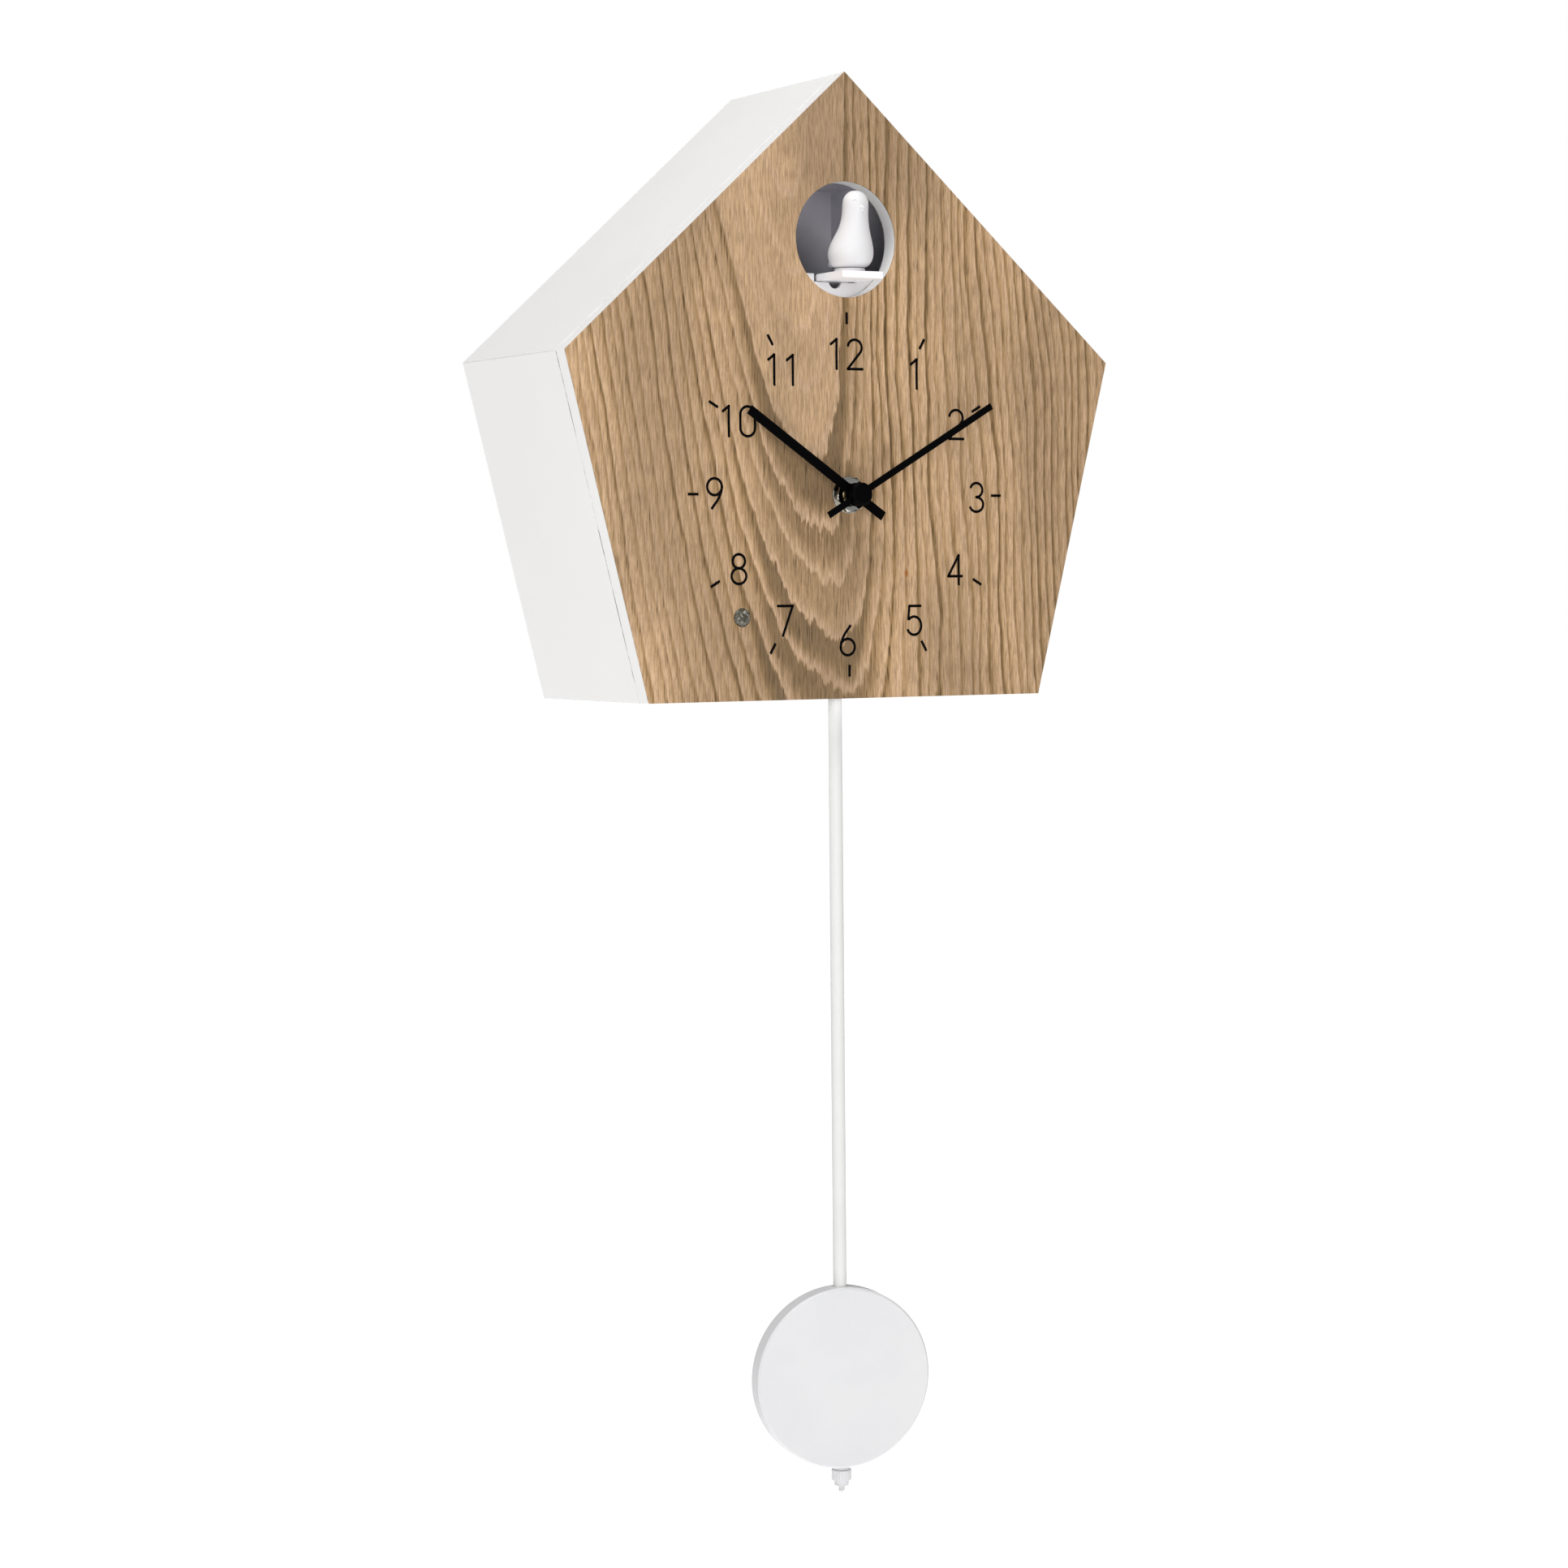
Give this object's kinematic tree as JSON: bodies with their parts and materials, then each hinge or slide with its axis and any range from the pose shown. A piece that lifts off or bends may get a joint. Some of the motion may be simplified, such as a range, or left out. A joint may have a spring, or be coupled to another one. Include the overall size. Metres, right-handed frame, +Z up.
{
  "type": "wall clock",
  "caption": "Wall-hung pendulum clock in a house-shaped case with a round door, a sliding bird and two bar hands.",
  "frame": {"origin": "centre of the hanger plate's round hole, in the plane of the wall", "axes": "+X to the right seen from the front, +Y into the wall, +Z up"},
  "size_m": [0.24, 0.1043, 0.55],
  "materials": {
    "white_lacquer": "satin white lacquer on board",
    "mdf_board": "raw fibreboard, matt",
    "wood_veneer": "matt oiled veneer",
    "ink": "printed",
    "pine": "sawn, matt",
    "steel_zinc": "zinc plated",
    "chrome_steel": "polished",
    "brass_metal": "satin",
    "black_metal": "satin black paint",
    "black_plastic": "moulded, fine texture",
    "dark_plastic": "moulded, matt",
    "white_plastic": "moulded, satin",
    "gear_plastic": "acetal, satin",
    "white_paint": "satin white paint",
    "bob_white": "satin white paint on a moulded disc",
    "copper_wire": "enamelled winding",
    "circuit": "coated circuit board",
    "lens_clear": "clear, polished",
    "magnet_grey": "sintered, matt",
    "paper_cone": "pressed paper",
    "cell_jacket": "printed sleeve",
    "lead_sleeve": "soft sleeve"
  },
  "bodies": {
    "case": {"roof_panel_left": "white_lacquer", "roof_panel_right": "white_lacquer", "side_panel_left": "white_lacquer", "side_panel_right": "white_lacquer", "bottom_panel": "white_lacquer", "front_board": "white_lacquer", "front_veneer": "wood_veneer", "dial_ticks": "ink", "back_panel": "mdf_board", "wood_blocks": "pine", "wood_screws": "steel_zinc", "hanger_plate": "steel_zinc", "movement_housing": "black_plastic", "movement_lid": "black_plastic", "threaded_bush": "brass_metal", "dial_washer": "chrome_steel", "dial_nut": "chrome_steel", "circuit_board": "circuit", "stator": "steel_zinc", "stepper_coil": "copper_wire", "bird_tray": "white_plastic", "bird_chamber": "dark_plastic", "bird_motor": "steel_zinc", "speaker_frame": "steel_zinc", "speaker_cone": "paper_cone", "speaker_magnet": "magnet_grey", "sound_board": "circuit", "internal_leads": "lead_sleeve", "light_sensor": "lens_clear", "battery_holder": "black_plastic", "battery_cells": "cell_jacket", "battery_contacts": "steel_zinc", "pendulum_drive": "black_plastic", "drive_coil": "copper_wire", "pivot_pin": "chrome_steel"},
    "minute_group": {"centre_wheel": "gear_plastic", "minute_hand": "black_metal", "hand_cap": "black_metal"},
    "hour_group": {"hour_wheel": "gear_plastic", "hour_hand": "black_metal"},
    "minute_wheel_body": {"minute_wheel": "gear_plastic"},
    "setting_body": {"setting_knob": "gear_plastic"},
    "third_body": {"third_wheel": "gear_plastic"},
    "fourth_body": {"fourth_wheel": "gear_plastic"},
    "fifth_body": {"fifth_wheel": "gear_plastic"},
    "rotor_body": {"rotor": "magnet_grey"},
    "bird_group": {"bird_platform": "white_plastic", "bird": "white_plastic"},
    "drive_gear_body": {"drive_gear": "gear_plastic"},
    "motor_pinion_body": {"motor_pinion": "brass_metal"},
    "pendulum": {"swing_lever": "black_plastic", "lever_magnet": "magnet_grey", "rod_hook": "steel_zinc", "pendulum_rod": "white_paint", "thread_stud": "white_paint"},
    "bush_body": {"bob_bush": "bob_white"},
    "bob_body": {"bob": "bob_white"},
    "nut_body": {"rating_nut": "bob_white"},
    "cover_body": {"access_cover": "black_plastic"},
    "switch_body": {"switch_knob": "black_plastic"}
  },
  "joints": [
    {"name": "minute_spin", "type": "hinge", "parent": "case", "child": "minute_group", "pos_m": [0, -0.0759, -0.1189], "axis": [0, 1, 0], "continuous": true},
    {"name": "hour_spin", "type": "hinge", "parent": "case", "child": "hour_group", "pos_m": [0, -0.0795, -0.1189], "axis": [0, 1, 0], "continuous": true},
    {"name": "minute_wheel_spin", "type": "hinge", "parent": "case", "child": "minute_wheel_body", "pos_m": [-0.00617, -0.0777, -0.12625], "axis": [0, 1, 0], "continuous": true},
    {"name": "setting_spin", "type": "hinge", "parent": "case", "child": "setting_body", "pos_m": [-0.01234, -0.0777, -0.13361], "axis": [0, 1, 0], "continuous": true},
    {"name": "third_spin", "type": "hinge", "parent": "case", "child": "third_body", "pos_m": [0.01278, -0.0741, -0.11425], "axis": [0, 1, 0], "continuous": true},
    {"name": "fourth_spin", "type": "hinge", "parent": "case", "child": "fourth_body", "pos_m": [0.00387, -0.0723, -0.10534], "axis": [0, 1, 0], "continuous": true},
    {"name": "fifth_spin", "type": "hinge", "parent": "case", "child": "fifth_body", "pos_m": [-0.00659, -0.0705, -0.10442], "axis": [0, 1, 0], "continuous": true},
    {"name": "rotor_spin", "type": "hinge", "parent": "case", "child": "rotor_body", "pos_m": [-0.01223, -0.0687, -0.10648], "axis": [0, 1, 0], "continuous": true},
    {"name": "bird_slide", "type": "slide", "parent": "case", "child": "bird_group", "axis": [0, 1, 0], "range_m": [0, 0.028]},
    {"name": "drive_gear_spin", "type": "hinge", "parent": "case", "child": "drive_gear_body", "pos_m": [0.01152, -0.046, -0.0436], "axis": [0, 0, 1], "range_deg": [-300, 0]},
    {"name": "motor_pinion_spin", "type": "hinge", "parent": "case", "child": "motor_pinion_body", "pos_m": [0.01715, -0.03626, -0.0436], "axis": [0, 0, 1], "range_deg": [0, 1200]},
    {"name": "pendulum_swing", "type": "hinge", "parent": "case", "child": "pendulum", "pos_m": [0, -0.0788, -0.152], "axis": [0, 1, 0], "range_deg": [-6, 6]},
    {"name": "bob_height", "type": "slide", "parent": "pendulum", "child": "bush_body", "axis": [0, 0, 1], "range_m": [-0.003, 0.003]},
    {"name": "nut_turn", "type": "hinge", "parent": "bush_body", "child": "nut_body", "pos_m": [0, -0.0788, -0.5009], "axis": [0, 0, 1], "range_deg": [-2410, 2410]},
    {"name": "bob_turn", "type": "hinge", "parent": "bush_body", "child": "bob_body", "pos_m": [0, -0.0788, -0.4623], "axis": [0, 0, 1], "range_deg": [-180, 180]},
    {"name": "cover_lift", "type": "slide", "parent": "case", "child": "cover_body", "axis": [0, 1, 0], "range_m": [0, 0.03]},
    {"name": "switch_slide", "type": "slide", "parent": "case", "child": "switch_body", "axis": [1, 0, 0], "range_m": [0, 0.008]}
  ],
  "couplings": [
    {"joint": "hour_spin", "follows": "minute_spin", "ratio": 0.083333},
    {"joint": "minute_wheel_spin", "follows": "minute_spin", "ratio": -0.33333},
    {"joint": "setting_spin", "follows": "minute_spin", "ratio": 1},
    {"joint": "third_spin", "follows": "minute_spin", "ratio": -7.5},
    {"joint": "fourth_spin", "follows": "minute_spin", "ratio": 60},
    {"joint": "fifth_spin", "follows": "minute_spin", "ratio": -360},
    {"joint": "rotor_spin", "follows": "minute_spin", "ratio": 1800},
    {"joint": "drive_gear_spin", "follows": "bird_slide", "rad_per_m": -178.57},
    {"joint": "motor_pinion_spin", "follows": "bird_slide", "rad_per_m": 714.29},
    {"joint": "nut_turn", "follows": "bob_height", "rad_per_m": 13963}
  ]
}
